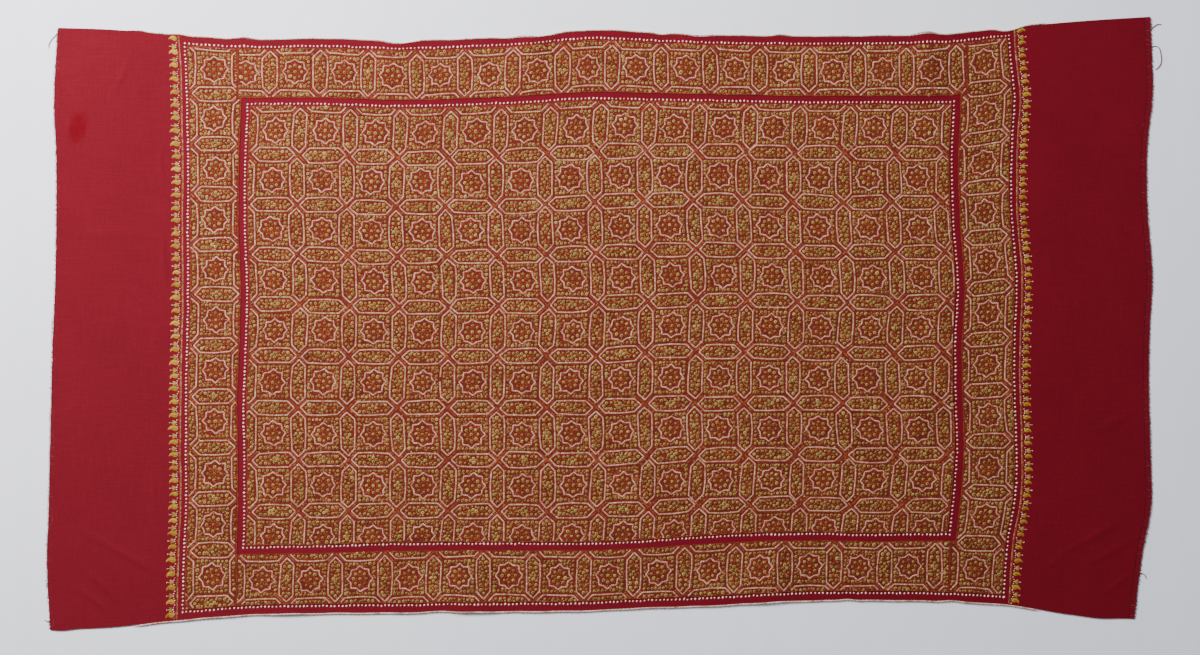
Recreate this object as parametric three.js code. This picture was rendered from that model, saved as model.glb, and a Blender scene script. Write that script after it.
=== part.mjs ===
import * as THREE from "three";

// An embroidered wool shawl lying flat on its back, in millimetres.
// +X runs along its length, +Y across it and +Z up, with the floor at z = 0.
// A place on the cloth is given as along and across on the cloth pulled straight.
// The laid functions then give it the small strays of a hand-worked cloth, and its folds.

const clothThickness = 1.2;
const embroideryThickness = 1.0;
const seamGap = 0.3;
const edgingWidth = 2.2;
const edgingHeight = 2.4;
const fringeHeight = 1.4;
const leftFringeReach = 8;
const rightFringeReach = 11;

// Distances from the middle of the cloth to the lines where one kind of work meets the next.
const endAlong = 1000;
const clothEndLeft = endAlong - leftFringeReach - seamGap;
const clothEndRight = endAlong - rightFringeReach - seamGap;
const edgingEndLeft = 845;
const edgingEndRight = 822;
const trimOuter = 787;
const trimInner = 764;
const sideBorderOuter = 751;
const sideBorderInner = 658.5;
const fieldAlong = 643;
const edgeAcross = 526.5;
const longBorderOuter = 510.5;
const longBorderInner = 417;
const fieldAcross = 402.5;

// Lines across the length, and how far each strays along it at each height on the cloth.
const linesAlong = { leftEnd: -1000, leftGuard: -754, fieldLeft: -646.5,
  fieldRight: 646.5, rightGuard: 754, rightEnd: 1000 };
const straysAlong = [
  { across: 538, leftEnd: 14, leftGuard: -3, fieldLeft: 7, fieldRight: -3, rightGuard: -11, rightEnd: 1 },
  { across: 469, leftEnd: 9, leftGuard: 1, fieldLeft: 7, fieldRight: -3, rightGuard: -7, rightEnd: 4 },
  { across: 396, leftEnd: 6, leftGuard: 3, fieldLeft: 6, fieldRight: -3, rightGuard: 0, rightEnd: 6 },
  { across: 296, leftEnd: 10, leftGuard: 5, fieldLeft: 2, fieldRight: -7, rightGuard: -5, rightEnd: -4 },
  { across: 187, leftEnd: 10, leftGuard: 4, fieldLeft: 1, fieldRight: -4, rightGuard: -5, rightEnd: -4 },
  { across: 68, leftEnd: 8, leftGuard: 5, fieldLeft: 5, fieldRight: 4, rightGuard: 4, rightEnd: 5 },
  { across: -41, leftEnd: 3, leftGuard: 3, fieldLeft: 3, fieldRight: 0, rightGuard: 1, rightEnd: 0 },
  { across: -132, leftEnd: 1, leftGuard: 1, fieldLeft: -1, fieldRight: 0, rightGuard: 0, rightEnd: -1 },
  { across: -241, leftEnd: -2, leftGuard: 1, fieldLeft: 0, fieldRight: 3, rightGuard: 4, rightEnd: 2 },
  { across: -332, leftEnd: -4, leftGuard: 1, fieldLeft: 0, fieldRight: -3, rightGuard: 1.5, rightEnd: 3 },
  { across: -423, leftEnd: -7, leftGuard: -3, fieldLeft: -2, fieldRight: -12, rightGuard: -13, rightEnd: -14 },
  { across: -523, leftEnd: -1, leftGuard: -6, fieldLeft: -4, fieldRight: -16, rightGuard: -20, rightEnd: -27 },
];

// Lines along the length, and how far each strays across it at each station.
const linesAcross = { bottomEdge: -526.5, fieldBottom: -405.5, middle: -12, fieldTop: 405.5, topEdge: 526.5 };
const straysAcross = [
  { along: -1000, bottomEdge: -24, fieldBottom: -9, middle: 6, fieldTop: 12, topEdge: 19 },
  { along: -886, bottomEdge: -19, fieldBottom: -5, middle: 6, fieldTop: 9, topEdge: 15 },
  { along: -771, bottomEdge: -7, fieldBottom: 1, middle: 6, fieldTop: 1, topEdge: 4 },
  { along: -640, bottomEdge: 4, fieldBottom: 5, middle: 7, fieldTop: 1, topEdge: -4 },
  { along: -513, bottomEdge: 7, fieldBottom: 7, middle: 6, fieldTop: 1, topEdge: -2 },
  { along: -367, bottomEdge: 8, fieldBottom: 11, middle: 4, fieldTop: -3, topEdge: -6 },
  { along: -185, bottomEdge: 10, fieldBottom: 12, middle: 6, fieldTop: 2, topEdge: 0 },
  { along: -12, bottomEdge: 12, fieldBottom: 12, middle: 7, fieldTop: 11, topEdge: 13 },
  { along: 88, bottomEdge: 17, fieldBottom: 16, middle: 12, fieldTop: 9, topEdge: 9 },
  { along: 216, bottomEdge: 21, fieldBottom: 25, middle: 16, fieldTop: 7, topEdge: 4 },
  { along: 361, bottomEdge: 29, fieldBottom: 30, middle: 14, fieldTop: 4, topEdge: 2 },
  { along: 507, bottomEdge: 31, fieldBottom: 28, middle: 13, fieldTop: 4, topEdge: 3 },
  { along: 638, bottomEdge: 29, fieldBottom: 29, middle: 15, fieldTop: 5, topEdge: 6 },
  { along: 765, bottomEdge: 22, fieldBottom: 24, middle: 24, fieldTop: 21, topEdge: 20 },
  { along: 880, bottomEdge: 4, fieldBottom: 11, middle: 27, fieldTop: 29, topEdge: 31 },
  { along: 1000, bottomEdge: -4, fieldBottom: 6, middle: 29, fieldTop: 34, topEdge: 39 },
];

// The broad folds: where each one's middle is, its size, and the way that it runs in degrees.
const folds = [
  { along: -868, across: -425, length: 300, width: 125, height: 0.6, runs: -32 },
  { along: -905, across: -215, length: 240, width: 120, height: 0.4, runs: -18 },
  { along: -900, across: 330, length: 260, width: 130, height: 0.4, runs: 22 },
  { along: 915, across: -385, length: 300, width: 130, height: 0.6, runs: 29 },
  { along: 850, across: 300, length: 280, width: 125, height: 0.4, runs: -42 },
  { along: 905, across: 40, length: 250, width: 120, height: 0.4, runs: 12 },
  { along: -380, across: 500, length: 190, width: 120, height: 2.4, runs: 84 },
  { along: -125, across: 512, length: 200, width: 125, height: 2.8, runs: 97 },
  { along: 168, across: 500, length: 180, width: 115, height: 2.2, runs: 88 },
  { along: 600, across: 500, length: 220, width: 125, height: 2.8, runs: 92 },
  { along: -560, across: -505, length: 180, width: 120, height: 2, runs: 95 },
  { along: -215, across: -510, length: 170, width: 110, height: 1.8, runs: 86 },
  { along: 330, across: -480, length: 220, width: 125, height: 2.4, runs: 83 },
  { along: -479, across: -136, length: 260, width: 115, height: 1.6, runs: 65 },
  { along: 586, across: -159, length: 220, width: 115, height: 1.6, runs: 63 },
];

// A smooth curve through one column of a table, held level past its ends.
function through(table, key, column, at) {
  const rows = [...table].sort((a, b) => a[key] - b[key]);
  const last = rows.length - 1;
  if (at <= rows[0][key]) return rows[0][column];
  if (at >= rows[last][key]) return rows[last][column];
  const i = rows.findIndex((row) => row[key] > at) - 1;
  const slope = (j) => {
    const low = rows[Math.max(j - 1, 0)];
    const high = rows[Math.min(j + 1, last)];
    return (high[column] - low[column]) / (high[key] - low[key]);
  };
  const step = rows[i + 1][key] - rows[i][key];
  const t = (at - rows[i][key]) / step;
  const rise = 3 * t * t - 2 * t * t * t;
  const leave = (t * t * t - 2 * t * t + t) * step;
  const arrive = (t * t * t - t * t) * step;
  return rows[i][column] * (1 - rise) + rows[i + 1][column] * rise + leave * slope(i) + arrive * slope(i + 1);
}

// Between two lines the stray changes evenly, and past the outer ones it stays as it is.
function strayBetween(lines, table, key, at, place) {
  const names = Object.keys(lines);
  const strays = names.map((name) => through(table, key, name, at));
  const last = names.length - 1;
  if (place <= lines[names[0]]) return strays[0];
  if (place >= lines[names[last]]) return strays[last];
  const i = names.findIndex((name) => lines[name] > place) - 1;
  const share = (place - lines[names[i]]) / (lines[names[i + 1]] - lines[names[i]]);
  return strays[i] * (1 - share) + strays[i + 1] * share;
}

function foldHeight(along, across) {
  let height = 0;
  for (const fold of folds) {
    const turn = THREE.MathUtils.degToRad(fold.runs);
    const dx = along - fold.along;
    const dy = across - fold.across;
    const down = (dx * Math.cos(turn) + dy * Math.sin(turn)) / fold.length;
    const over = (dy * Math.cos(turn) - dx * Math.sin(turn)) / fold.width;
    if (Math.abs(down) < 0.5 && Math.abs(over) < 0.5) {
      height += fold.height * Math.cos(Math.PI * down) ** 2 * Math.cos(Math.PI * over) ** 2;
    }
  }
  return height;
}

function laid(along, across, above) {
  const x = along + strayBetween(linesAlong, straysAlong, "across", across, along);
  const y = across + strayBetween(linesAcross, straysAcross, "along", along, across);
  return new THREE.Vector3(x, y, foldHeight(along, across) + above);
}

// Even steps between the stops, with a number of cells for each gap.
function stations(stops, cells) {
  const places = [stops[0]];
  for (let i = 0; i < cells.length; i += 1) {
    for (let j = 1; j <= cells[i]; j += 1) {
      places.push(stops[i] + ((stops[i + 1] - stops[i]) * j) / cells[i]);
    }
  }
  return places;
}

const clothAlong = stations(
  [-clothEndLeft, -edgingEndLeft, -edgingEndRight, -trimOuter, -trimInner, -sideBorderOuter, -sideBorderInner,
    -fieldAlong, fieldAlong, sideBorderInner, sideBorderOuter, trimInner, trimOuter, edgingEndRight,
    edgingEndLeft, clothEndRight],
  [4, 1, 1, 1, 1, 2, 1, 24, 1, 2, 1, 1, 1, 1, 4],
);
const clothAcross = stations(
  [-edgeAcross, -longBorderOuter, -longBorderInner, -fieldAcross, fieldAcross, longBorderInner,
    longBorderOuter, edgeAcross],
  [1, 2, 1, 16, 1, 2, 1],
);

// The cloth's own lines from one place to another, with those two places as the ends.
function between(places, low, high) {
  return [low, ...places.filter((place) => place > low + 1 && place < high - 1), high];
}

// A closed wall over a grid of the cloth's own points, from one height above its underside to another.
function wall(alongs, acrosses, low, high) {
  const positions = [];
  const faces = [];
  const rows = acrosses.length;
  for (const above of [low, high]) {
    for (const along of alongs) {
      for (const across of acrosses) positions.push(...laid(along, across, above).toArray());
    }
  }
  const at = (i, j, top) => top * alongs.length * rows + i * rows + j;
  const quad = (a, b, c, d) => faces.push(a, b, c, a, c, d);
  for (let i = 0; i + 1 < alongs.length; i += 1) {
    for (let j = 0; j + 1 < rows; j += 1) {
      quad(at(i, j, 1), at(i + 1, j, 1), at(i + 1, j + 1, 1), at(i, j + 1, 1));
      quad(at(i, j, 0), at(i, j + 1, 0), at(i + 1, j + 1, 0), at(i + 1, j, 0));
    }
    quad(at(i, 0, 0), at(i + 1, 0, 0), at(i + 1, 0, 1), at(i, 0, 1));
    quad(at(i + 1, rows - 1, 0), at(i, rows - 1, 0), at(i, rows - 1, 1), at(i + 1, rows - 1, 1));
  }
  const end = alongs.length - 1;
  for (let j = 0; j + 1 < rows; j += 1) {
    quad(at(0, j + 1, 0), at(0, j, 0), at(0, j, 1), at(0, j + 1, 1));
    quad(at(end, j, 0), at(end, j + 1, 0), at(end, j + 1, 1), at(end, j, 1));
  }
  const geometry = new THREE.BufferGeometry();
  geometry.setAttribute("position", new THREE.Float32BufferAttribute(positions, 3));
  geometry.setIndex(faces);
  geometry.computeVertexNormals();
  return geometry;
}

const shawl = new THREE.Group();

function addPiece(name, geometry, color, roughness) {
  const material = new THREE.MeshStandardMaterial({ color, roughness, metalness: 0 });
  const piece = new THREE.Mesh(geometry, material);
  piece.name = name;
  shawl.add(piece);
}

// One length of woven wool carries all the needlework, and its two ends stay bare.
addPiece("ground_cloth", wall(clothAlong, clothAcross, 0, clothThickness), 0x8c1f2a, 0.9);

// The needlework lies on the cloth in panels, with bare guard lines of cloth between them.
const workLow = clothThickness + seamGap;
const workHigh = workLow + embroideryThickness;
const longBorderAlong = sideBorderInner - seamGap;
const panels = [
  { name: "field_embroidery", left: -fieldAlong, right: fieldAlong, low: -fieldAcross, high: fieldAcross },
  { name: "border_top", left: -longBorderAlong, right: longBorderAlong, low: longBorderInner,
    high: longBorderOuter },
  { name: "border_bottom", left: -longBorderAlong, right: longBorderAlong, low: -longBorderOuter,
    high: -longBorderInner },
  { name: "border_left", left: -sideBorderOuter, right: -sideBorderInner, low: -longBorderOuter,
    high: longBorderOuter },
  { name: "border_right", left: sideBorderInner, right: sideBorderOuter, low: -longBorderOuter,
    high: longBorderOuter },
  { name: "trim_left", left: -trimOuter, right: -trimInner, low: -edgeAcross, high: edgeAcross },
  { name: "trim_right", left: trimInner, right: trimOuter, low: -edgeAcross, high: edgeAcross },
];
for (const panel of panels) {
  const alongs = between(clothAlong, panel.left, panel.right);
  const acrosses = between(clothAcross, panel.low, panel.high);
  const color = panel.name.startsWith("trim") ? 0xa8763c : 0x935a42;
  addPiece(panel.name, wall(alongs, acrosses, workLow, workHigh), color, 0.85);
}

// A cream cord finishes each long edge and runs a little way past the needlework.
const edgingAlong = between(clothAlong, -edgingEndLeft, edgingEndRight);
const cordNear = edgeAcross + seamGap;
const cordFar = cordNear + edgingWidth;
addPiece("edging_top", wall(edgingAlong, [cordNear, cordFar], 0, edgingHeight), 0xd2b8a0, 0.9);
addPiece("edging_bottom", wall(edgingAlong, [-cordFar, -cordNear], 0, edgingHeight), 0xd2b8a0, 0.9);

// The reach of the frayed warp ends.
const leftReach = [-endAlong, -clothEndLeft - seamGap];
const rightReach = [clothEndRight + seamGap, endAlong];
addPiece("fringe_left", wall(leftReach, clothAcross, 0, fringeHeight), 0xa04a50, 1);
addPiece("fringe_right", wall(rightReach, clothAcross, 0, fringeHeight), 0x6e2028, 1);

// The group stands with the middle of its own box over the origin.
const box = new THREE.Box3().setFromObject(shawl);
const middle = box.getCenter(new THREE.Vector3());
shawl.position.set(-middle.x, -middle.y, -box.min.z);

export default shawl;
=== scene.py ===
import math

import bpy
import numpy as np
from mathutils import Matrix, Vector


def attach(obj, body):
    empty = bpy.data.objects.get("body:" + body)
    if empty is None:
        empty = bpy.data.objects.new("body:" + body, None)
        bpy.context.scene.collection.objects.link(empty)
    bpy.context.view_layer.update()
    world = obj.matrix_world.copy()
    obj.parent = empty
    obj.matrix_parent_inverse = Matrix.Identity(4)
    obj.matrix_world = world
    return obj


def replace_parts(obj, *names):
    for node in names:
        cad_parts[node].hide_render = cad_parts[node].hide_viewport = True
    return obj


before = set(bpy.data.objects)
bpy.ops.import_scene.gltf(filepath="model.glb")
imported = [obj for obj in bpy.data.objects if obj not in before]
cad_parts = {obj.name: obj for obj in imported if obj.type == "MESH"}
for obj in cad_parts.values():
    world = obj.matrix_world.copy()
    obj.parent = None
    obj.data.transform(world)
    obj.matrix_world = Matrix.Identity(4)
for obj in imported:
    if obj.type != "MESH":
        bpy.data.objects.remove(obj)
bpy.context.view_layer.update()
print("frame loaded")

mm = 0.001
chance = np.random.default_rng(27)


# a short table with named columns, as one dictionary for each row
def rowsOf(columns, *rows):
    return [dict(zip(columns.split(), row)) for row in rows]


# the laid cloth, in millimetres, with the same lines, strays and folds as the solids
layout = {
    "shiftX": 0.406, "shiftY": -7.5,
    "end": 1000, "clothEndLeft": 991.7, "clothEndRight": 988.7,
    "edgingEndLeft": 845, "edgingEndRight": 822,
    "trimOuter": 787, "trimInner": 764,
    "sideBorderOuter": 751, "sideBorderInner": 658.5, "fieldAlong": 643,
    "edgeAcross": 526.5, "longBorderOuter": 510.5, "longBorderInner": 417, "fieldAcross": 402.5,
    "clothThickness": 1.2, "workLow": 1.3, "workHigh": 1.9,
    "cell": 11, "crossCell": 7.5, "fineCell": 4.5, "fineBelow": -340,
}

linesAlong = {"leftEnd": -layout["end"], "leftGuard": -754, "fieldLeft": -646.5,
              "fieldRight": 646.5, "rightGuard": 754, "rightEnd": layout["end"]}
straysAlong = rowsOf(
    "across leftEnd leftGuard fieldLeft fieldRight rightGuard rightEnd",
    (538, 14, -3, 7, -3, -11, 1),
    (469, 9, 1, 7, -3, -7, 4),
    (396, 6, 3, 6, -3, 0, 6),
    (296, 10, 5, 2, -7, -5, -4),
    (187, 10, 4, 1, -4, -5, -4),
    (68, 8, 5, 5, 4, 4, 5),
    (-41, 3, 3, 3, 0, 1, 0),
    (-132, 1, 1, -1, 0, 0, -1),
    (-241, -2, 1, 0, 3, 4, 2),
    (-332, -4, 1, 0, -3, 1.5, 3),
    (-423, -7, -3, -2, -12, -13, -14),
    (-523, -1, -6, -4, -16, -20, -27))

linesAcross = {"bottomEdge": -layout["edgeAcross"], "fieldBottom": -405.5, "middle": -12,
               "fieldTop": 405.5, "topEdge": layout["edgeAcross"]}
straysAcross = rowsOf(
    "along bottomEdge fieldBottom middle fieldTop topEdge",
    (-1000, -24, -9, 6, 12, 19),
    (-886, -19, -5, 6, 9, 15),
    (-771, -7, 1, 6, 1, 4),
    (-640, 4, 5, 7, 1, -4),
    (-513, 7, 7, 6, 1, -2),
    (-367, 8, 11, 4, -3, -6),
    (-185, 10, 12, 6, 2, 0),
    (-12, 12, 12, 7, 11, 13),
    (88, 17, 16, 12, 9, 9),
    (216, 21, 25, 16, 7, 4),
    (361, 29, 30, 14, 4, 2),
    (507, 31, 28, 13, 4, 3),
    (638, 29, 29, 15, 5, 6),
    (765, 22, 24, 24, 21, 20),
    (880, 4, 11, 27, 29, 31),
    (1000, -4, 6, 29, 34, 39))

folds = rowsOf(
    "along across length width height runs",
    (-868, -425, 300, 125, 0.6, -32),
    (-905, -215, 240, 120, 0.4, -18),
    (-900, 330, 260, 130, 0.4, 22),
    (915, -385, 300, 130, 0.6, 29),
    (850, 300, 280, 125, 0.4, -42),
    (905, 40, 250, 120, 0.4, 12),
    (-380, 500, 190, 120, 2.4, 84),
    (-125, 512, 200, 125, 2.8, 97),
    (168, 500, 180, 115, 2.2, 88),
    (600, 500, 220, 125, 2.8, 92),
    (-560, -505, 180, 120, 2, 95),
    (-215, -510, 170, 110, 1.8, 86),
    (330, -480, 220, 125, 2.4, 83),
    (-479, -136, 260, 115, 1.6, 65),
    (586, -159, 220, 115, 1.6, 63))

# the finer creases, which only the cloth in the looks has
creases = rowsOf(
    "along across length width height runs",
    (-890, 176, 230, 36, 1.0, 1),
    (-862, -391, 240, 42, 1.9, -30),
    (-894, -445, 120, 38, 2.2, -44),
    (-912, -468, 110, 36, 1.9, -37),
    (-812, 120, 115, 36, 2.0, 94),
    (-832, 52, 110, 36, 2.0, -46),
    (-797, -133, 110, 36, 1.1, 82),
    (-886, 453, 85, 36, 1.5, 65),
    (-933, 505, 80, 30, 1.0, 10),
    (-817, 289, 90, 36, 1.2, 97),
    (-826, -302, 90, 36, 1.2, 95),
    (824, 294, 130, 38, 2.3, 138),
    (930, 144, 80, 44, 1.4, 137),
    (933, -176, 110, 40, 1.3, 27),
    (902, -376, 135, 40, 1.0, 32),
    (834, -428, 125, 40, 0.5, 43),
    (936, -403, 130, 40, 1.0, 30),
    (953, -460, 80, 36, 0.9, 38),
    (806, 96, 80, 34, 0.6, 86))
creaseCrest = 5

# the soft flutes and dents among the needlework
flutes = rowsOf(
    "along across length width height runs",
    (-2, 40, 1000, 24, 0.9, 90),
    (-395, 480, 120, 36, 1.7, 82),
    (-130, 490, 130, 40, 1.9, 96),
    (160, 485, 110, 36, 1.5, 88),
    (598, 480, 130, 40, 1.8, 93),
    (-479, -136, 160, 34, 1.3, 65),
    (586, -159, 80, 30, 1.1, 63),
    (-240, -490, 120, 36, 1.4, 85),
    (335, -470, 130, 38, 1.6, 84))

puckers = {"height": 0.22, "lift": 0.8, "most": 3, "waves": 14, "shortest": 70, "longest": 190, "seed": 5}


def column(rows, name):
    return np.array([row[name] for row in rows], float)


# every crossing of two sets of lines
def crossed(firsts, seconds):
    return (grid.ravel() for grid in np.meshgrid(firsts, seconds, indexing="ij"))


# the stretch between two lines that a place falls in, and its share of the way through
def stretchOf(lines, at):
    i = np.clip(np.searchsorted(lines, at, side="right") - 1, 0, len(lines) - 2)
    return i, (at - lines[i]) / (lines[i + 1] - lines[i])


def curveThrough(rows, key, name, at):
    rows = sorted(rows, key=lambda row: row[key])
    xs, ys = column(rows, key), column(rows, name)
    slopes = np.empty_like(ys)
    slopes[1:-1] = (ys[2:] - ys[:-2]) / (xs[2:] - xs[:-2])
    slopes[0] = (ys[1] - ys[0]) / (xs[1] - xs[0])
    slopes[-1] = (ys[-1] - ys[-2]) / (xs[-1] - xs[-2])
    i, t = stretchOf(xs, np.clip(at, xs[0], xs[-1]))
    step = xs[i + 1] - xs[i]
    rise = 3 * t ** 2 - 2 * t ** 3
    leave = (t ** 3 - 2 * t ** 2 + t) * step
    arrive = (t ** 3 - t ** 2) * step
    return ys[i] * (1 - rise) + ys[i + 1] * rise + leave * slopes[i] + arrive * slopes[i + 1]


def strayBetween(lines, rows, key, at, place):
    marks = np.array(list(lines.values()), float)
    strays = np.stack([curveThrough(rows, key, name, at) for name in lines])
    i, share = stretchOf(marks, np.clip(place, marks[0], marks[-1]))
    pick = np.arange(len(place))
    return strays[i, pick] * (1 - share) + strays[i + 1, pick] * share


# a ridge on each row's line, and with a crest above 1 its rise is slow and its fall quick
def ridges(rows, along, across, crest=1):
    height = np.zeros_like(along)
    for row in rows:
        turn = math.radians(row["runs"])
        dx, dy = along - row["along"], across - row["across"]
        down = (dx * math.cos(turn) + dy * math.sin(turn)) / row["length"]
        over = (dy * math.cos(turn) - dx * math.sin(turn)) / row["width"]
        inside = (np.abs(down) < 0.5) & (np.abs(over) < 0.5)
        climb = np.clip(0.5 - over, 0, 1) ** crest
        height += inside * row["height"] * np.cos(np.pi * down) ** 2 * np.sin(np.pi * climb) ** 2
    return height


def ripple(along, across, count, shortest, longest, dice):
    total = np.zeros_like(along)
    for _ in range(count):
        size = dice.uniform(shortest, longest)
        turn = dice.uniform(0, math.pi)
        start = dice.uniform(0, 2 * math.pi)
        total += np.sin((along * math.cos(turn) + across * math.sin(turn)) * 2 * math.pi / size + start)
    return total / math.sqrt(count)


# the cloth's mesh lines: every seam line of the panels, and even steps between them, finer where it creases
def stations(stops, step, isFine):
    places = [stops[0]]
    for low, high in zip(stops, stops[1:]):
        count = max(1, round((high - low) / (layout["fineCell"] if isFine(low, high) else step)))
        places += [low + (high - low) * (i + 1) / count for i in range(count)]
    return np.array(places, float)


def inPlainEnd(low, high):
    return min(abs(low), abs(high)) >= layout["trimOuter"]


def inLowerStrip(low, high):
    return high <= layout["fineBelow"]


def bothSides(*names):
    half = [layout[name] for name in names]
    return [-x for x in reversed(half)], half


lower, upper = bothSides("fieldAlong", "sideBorderInner", "sideBorderOuter", "trimInner", "trimOuter",
                         "edgingEndRight", "edgingEndLeft")
clothAlong = stations([-layout["clothEndLeft"]] + lower + upper + [layout["clothEndRight"]],
                      layout["cell"], inPlainEnd)
lower, upper = bothSides("fieldAcross", "longBorderInner", "longBorderOuter", "edgeAcross")
clothAcross = stations(lower + [layout["fineBelow"]] + upper, layout["crossCell"], inLowerStrip)

gridAlong, gridAcross = crossed(clothAlong, clothAcross)
waves = ripple(gridAlong, gridAcross, puckers["waves"], puckers["shortest"], puckers["longest"],
               np.random.default_rng(puckers["seed"]))
gridHeight = ridges(folds + flutes, gridAlong, gridAcross)
gridHeight += ridges(creases, gridAlong, gridAcross, creaseCrest)
gridHeight += puckers["height"] * np.clip(puckers["lift"] + waves, 0, puckers["most"])
gridHeight = gridHeight.reshape(len(clothAlong), len(clothAcross))


def heightAt(along, across):
    i, s = stretchOf(clothAlong, np.clip(along, clothAlong[0], clothAlong[-1]))
    j, t = stretchOf(clothAcross, np.clip(across, clothAcross[0], clothAcross[-1]))
    return (gridHeight[i, j] * (1 - s) * (1 - t) + gridHeight[i + 1, j] * s * (1 - t)
            + gridHeight[i, j + 1] * (1 - s) * t + gridHeight[i + 1, j + 1] * s * t)


# small scallops of the two long edges: the middle, width and reach of each, upwards where it is positive
topScallops = [(-846, 55, 2.3), (-764, 55, 2.2), (-655, 60, 2.9), (-370, 90, -4.6), (-170, 60, -2),
               (-109, 100, -3.6), (109, 50, -2.8), (178, 70, -2.4), (328, 55, 2.2), (597, 70, 4.8),
               (752, 80, -6.5)]
bottomScallops = [(-975, 60, -2), (-280, 90, 2.2), (464, 50, 2), (655, 60, 2), (935, 110, -2.6)]
scallopFade = {"reach": 22, "most": 1.1, "fall": 1.5}


def scallop(rows, along, depth):
    total = sum(reach * np.cos(np.clip((along - middle) / width, -0.5, 0.5) * np.pi) ** 2
                for middle, width, reach in rows)
    return total * np.clip(1 + depth / scallopFade["reach"], 0, scallopFade["most"]) ** scallopFade["fall"]


def laid(along, across, above):
    x = along + strayBetween(linesAlong, straysAlong, "across", across, along) + layout["shiftX"]
    y = across + strayBetween(linesAcross, straysAcross, "along", along, across) + layout["shiftY"]
    y = y + scallop(topScallops, along, across - layout["edgeAcross"])
    y = y + scallop(bottomScallops, along, -across - layout["edgeAcross"])
    return np.stack([x, y, heightAt(along, across) + above], axis=1) * mm


allPieces = []


def meshPiece(name, points, faceSets, materials, tone=None, place=None, faceMaterial=None):
    mesh = bpy.data.meshes.new(name)
    mesh.vertices.add(len(points))
    mesh.vertices.foreach_set("co", np.asarray(points, np.float32).ravel())
    faceSets = [np.asarray(f, np.int32) for f in faceSets if len(f)]
    loops = np.concatenate([f.ravel() for f in faceSets])
    sizes = np.concatenate([np.full(len(f), f.shape[1], np.int32) for f in faceSets])
    mesh.loops.add(len(loops))
    mesh.loops.foreach_set("vertex_index", loops)
    mesh.polygons.add(len(sizes))
    mesh.polygons.foreach_set("loop_start", np.concatenate([[0], np.cumsum(sizes)[:-1]]).astype(np.int32))
    mesh.polygons.foreach_set("use_smooth", np.ones(len(sizes), bool))
    if faceMaterial is not None:
        mesh.polygons.foreach_set("material_index", np.asarray(faceMaterial, np.int32))
    mesh.update(calc_edges=True)
    if tone is not None:
        mesh.attributes.new("tone", "FLOAT", "POINT").data.foreach_set("value", np.asarray(tone, np.float32))
    if place is not None:
        mesh.attributes.new("place", "FLOAT_VECTOR", "POINT").data.foreach_set(
            "vector", np.asarray(place, np.float32).ravel())
    for material in materials:
        mesh.materials.append(material)
    piece = bpy.data.objects.new(name, mesh)
    bpy.context.scene.collection.objects.link(piece)
    allPieces.append(piece)
    print(f"{name}: {int((sizes - 2).sum())} triangles")
    return piece


def linesBetween(places, low, high):
    return np.concatenate([[low], places[(places > low + 1) & (places < high - 1)], [high]])


def facesOf(*corners):
    return np.stack([corner.ravel() for corner in corners], axis=1)


# the faces of one stitch, once for each of a number of them
def repeated(pattern, pointCount, count):
    pattern = np.asarray(pattern)
    return (pointCount * np.arange(count)[:, None, None] + pattern[None]).reshape(-1, pattern.shape[1])


def unitOf(vectors):
    return vectors / np.maximum(np.hypot(*vectors.T), 1e-6)[:, None]


def leftOf(vectors):
    return np.stack([-vectors[:, 1], vectors[:, 0]], axis=1)


def rectangle(along, across):
    return np.array([(-along, -across), (along, -across), (along, across), (-along, across)], float)


# a wall of even thickness on the cloth's form
def wall(alongs, acrosses, low, high):
    a, c = crossed(alongs, acrosses)
    points = np.concatenate([laid(a, c, low), laid(a, c, high)])
    place = np.stack([np.tile(a, 2), np.tile(c, 2), np.repeat([0, 1], len(a))], axis=1)
    under, over = np.arange(2 * len(a)).reshape(2, len(alongs), len(acrosses))
    top = facesOf(over[:-1, :-1], over[1:, :-1], over[1:, 1:], over[:-1, 1:])
    bottom = facesOf(under[:-1, :-1], under[:-1, 1:], under[1:, 1:], under[1:, :-1])
    sides = np.concatenate([
        facesOf(under[:-1, 0], under[1:, 0], over[1:, 0], over[:-1, 0]),
        facesOf(under[1:, -1], under[:-1, -1], over[:-1, -1], over[1:, -1]),
        facesOf(under[0, 1:], under[0, :-1], over[0, :-1], over[0, 1:]),
        facesOf(under[-1, :-1], under[-1, 1:], over[-1, 1:], over[-1, :-1])])
    return points, place, top, bottom, sides


# threads are gathered as points on the cloth (along, across, above) and laid down together at the end
taken = []  # along, across and reach of each place that a stitch covers


def newThreads():
    return {"points": [], "tones": [], "quads": [], "triangles": [], "count": 0}


def addThreads(store, points, tones, quads=None, triangles=None):
    if quads is not None:
        store["quads"].append(quads + store["count"])
    if triangles is not None:
        store["triangles"].append(triangles + store["count"])
    store["points"].append(points)
    store["tones"].append(tones)
    store["count"] += len(points)


def layThreads(name, store, material):
    points, tones = (np.concatenate(store[kind]) for kind in ("points", "tones"))
    faces = [np.concatenate(store[kind]) for kind in ("quads", "triangles") if store[kind]]
    return meshPiece(name, laid(*points.T), faces, [material], tone=tones)


# the drift of a hand, along and across: waves of unlike lengths both ways, with their starts
handWaves = (((17.3, 29.1, 0), (-41.7, 11.9, 0), (7.1, 23.3, 2)),
             ((26.9, 18.7, 1), (12.7, -38.3, 3), (21.7, 8.3, 0)))
# how uneven every hand-made stitch is, and how it narrows and sinks where it is held, painted darker there as
# painted shade, and how much lighter a knot's shoulder is painted, a painted highlight
handwork = {
    "wavePeak": 1.7, "sink": 0.2, "rowUneven": 0.07, "heldWidth": 0.66, "heldHeight": 0.5, "heldPaintedShade": 0.12,
    "strokeWobble": 0.4, "strokeMargin": 0.8, "strokeUneven": 0.12,
    "strokeForm": ((0, 0.45, 0.2), (0.5, 1, 1), (1, 0.45, 0.2)),
    "grainUneven": 0.18, "grainSink": 0.1, "knotMargin": 0.8, "knotStretch": 0.08, "shoulderPaintedHighlight": 0.12,
}


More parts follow.
